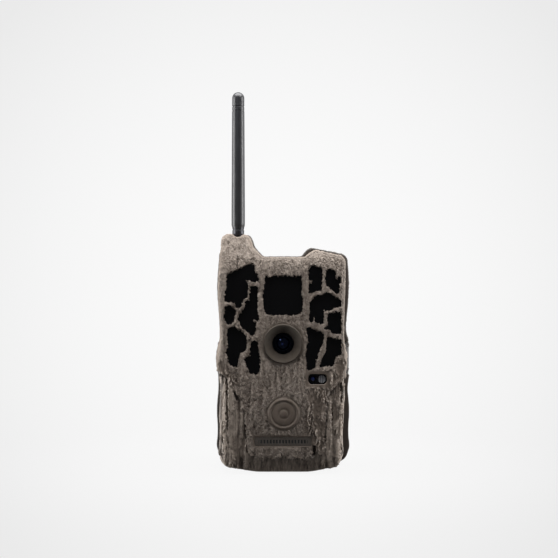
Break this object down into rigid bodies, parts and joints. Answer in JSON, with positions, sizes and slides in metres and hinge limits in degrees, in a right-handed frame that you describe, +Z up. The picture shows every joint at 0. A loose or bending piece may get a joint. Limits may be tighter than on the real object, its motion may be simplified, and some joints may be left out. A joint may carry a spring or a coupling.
{
  "type": "trail camera",
  "caption": "Bark-moulded clamshell wildlife camera with dark infrared windows, funnel lens, menu panel behind a latched door and a whip antenna.",
  "frame": {"origin": "mouth of the tripod socket in the base", "axes": "+Z up along the antenna, the lens looks along -Y, +X to the right of someone facing the lens"},
  "size_m": [0.1034, 0.0783, 0.2864],
  "materials": {
    "bark_shell": "moulded bark texture, matt",
    "rear_shell": "moulded bark texture, matt",
    "dark_window": "polished, infrared-passing black",
    "lens_ring": "fine satin",
    "clear_glass": "polished",
    "black_metal": "anodised black",
    "black_plastic": "fine grain",
    "red_glass": "coated",
    "sensor_die": "polished",
    "circuit_board": "solder mask",
    "led_lens": "tinted epoxy",
    "steel": "satin",
    "tin": "bright",
    "diffuser": "frosted",
    "connector_plastic": "matt",
    "card_plastic": "fine grain",
    "grey_plastic": "fine grain",
    "key_rubber": "matt",
    "screen_frame": "matt",
    "screen_glass": "polished",
    "panel_plastic": "fine grain",
    "cell_label": "printed sleeve",
    "spring_steel": "bright",
    "brass": "plated",
    "cable_jacket": "smooth",
    "antenna_rubber": "satin",
    "seal_rubber": "matt",
    "copper": "bare wire"
  },
  "bodies": {
    "rear": {"rear_housing": "rear_shell", "tree_bracket": "rear_shell", "bracket_screws": "steel", "door_gasket": "seal_rubber", "tripod_insert": "brass", "hinge_pin": "steel", "latch_pin": "steel"},
    "front": {"front_housing": "bark_shell", "ir_window_left": "dark_window", "ir_window_right": "dark_window", "pir_lens": "dark_window", "lens_bezel": "lens_ring", "lens_window": "clear_glass", "lens_barrel": "black_metal", "lens_glass": "clear_glass", "lens_holder": "black_plastic", "image_sensor": "sensor_die", "led_board_left": "circuit_board", "led_board_right": "circuit_board", "ir_leds": "led_lens", "pir_sensor": "tin", "pir_shroud": "black_plastic", "sensor_window": "dark_window", "status_led": "led_lens", "light_sensor": "diffuser", "sensor_board": "circuit_board", "nameplate": "black_plastic", "main_board": "circuit_board", "cellular_module": "tin", "card_sockets": "tin", "usb_port": "tin", "tact_switches": "connector_plastic", "mode_switch_base": "tin", "lcd_module": "screen_frame", "lcd_window": "screen_glass", "inner_panel": "panel_plastic", "case_screws": "steel", "sma_jack": "brass", "sma_nut": "brass", "antenna_pigtail": "cable_jacket", "dc_jack": "connector_plastic"},
    "latch_lever": {"latch_lever": "black_plastic"},
    "latch_bail": {"latch_bail": "steel"},
    "antenna": {"antenna_collar": "black_metal", "antenna_sleeve": "antenna_rubber", "antenna_cap": "antenna_rubber", "antenna_radiator": "copper"},
    "mode_switch": {"mode_switch_knob": "grey_plastic"},
    "sd_card": {"sd_card": "card_plastic"},
    "ir_cut": {"ir_cut_slider": "black_plastic", "ir_cut_panes": "red_glass"},
    "battery_tray": {"battery_tray": "grey_plastic", "batteries": "cell_label", "battery_contacts": "spring_steel"},
    "power_plug": {"power_port_plug": "seal_rubber"},
    "key_up": {"key_up": "key_rubber"},
    "key_down": {"key_down": "key_rubber"},
    "key_left": {"key_left": "key_rubber"},
    "key_right": {"key_right": "key_rubber"},
    "key_ok": {"key_ok": "key_rubber"}
  },
  "joints": [
    {"name": "case_hinge", "type": "hinge", "parent": "rear", "child": "front", "pos_m": [-0.0479, -0.008, 0.083], "axis": [0, 0, -1], "range_deg": [0, 100]},
    {"name": "latch_lever_hinge", "type": "hinge", "parent": "rear", "child": "latch_lever", "pos_m": [0.0486, -0.004, 0.0835], "axis": [0, 0, -1], "range_deg": [0, 160]},
    {"name": "latch_bail_hinge", "type": "hinge", "parent": "latch_lever", "child": "latch_bail", "pos_m": [0.0478, 0.002, 0.0835], "axis": [0, 0, -1], "range_deg": [-200, 0]},
    {"name": "antenna_turn", "type": "hinge", "parent": "front", "child": "antenna", "pos_m": [-0.034, -0.024, 0.18], "axis": [0, 0, 1], "continuous": true},
    {"name": "mode_switch_slide", "type": "slide", "parent": "front", "child": "mode_switch", "axis": [0, 0, 1], "range_m": [0, 0.008]},
    {"name": "sd_card_slide", "type": "slide", "parent": "front", "child": "sd_card", "axis": [0, 0, -1], "range_m": [-0.0008, 0.005]},
    {"name": "ir_cut_slide", "type": "slide", "parent": "front", "child": "ir_cut", "axis": [-1, 0, 0], "range_m": [0, 0.011]},
    {"name": "battery_tray_slide", "type": "slide", "parent": "front", "child": "battery_tray", "axis": [0, 1, 0], "range_m": [0, 0.018]},
    {"name": "power_plug_slide", "type": "slide", "parent": "front", "child": "power_plug", "axis": [0, 0, -1], "range_m": [0, 0.009]},
    {"name": "key_up_press", "type": "slide", "parent": "front", "child": "key_up", "axis": [0, -1, 0], "range_m": [0, 0.0005], "stiffness_N_per_m": 1500},
    {"name": "key_down_press", "type": "slide", "parent": "front", "child": "key_down", "axis": [0, -1, 0], "range_m": [0, 0.0005], "stiffness_N_per_m": 1500},
    {"name": "key_left_press", "type": "slide", "parent": "front", "child": "key_left", "axis": [0, -1, 0], "range_m": [0, 0.0005], "stiffness_N_per_m": 1500},
    {"name": "key_right_press", "type": "slide", "parent": "front", "child": "key_right", "axis": [0, -1, 0], "range_m": [0, 0.0005], "stiffness_N_per_m": 1500},
    {"name": "key_ok_press", "type": "slide", "parent": "front", "child": "key_ok", "axis": [0, -1, 0], "range_m": [0, 0.0005], "stiffness_N_per_m": 1500}
  ],
  "couplings": [
    {"joint": "latch_bail_hinge", "follows": "latch_lever_hinge", "ratio": -1.25}
  ]
}
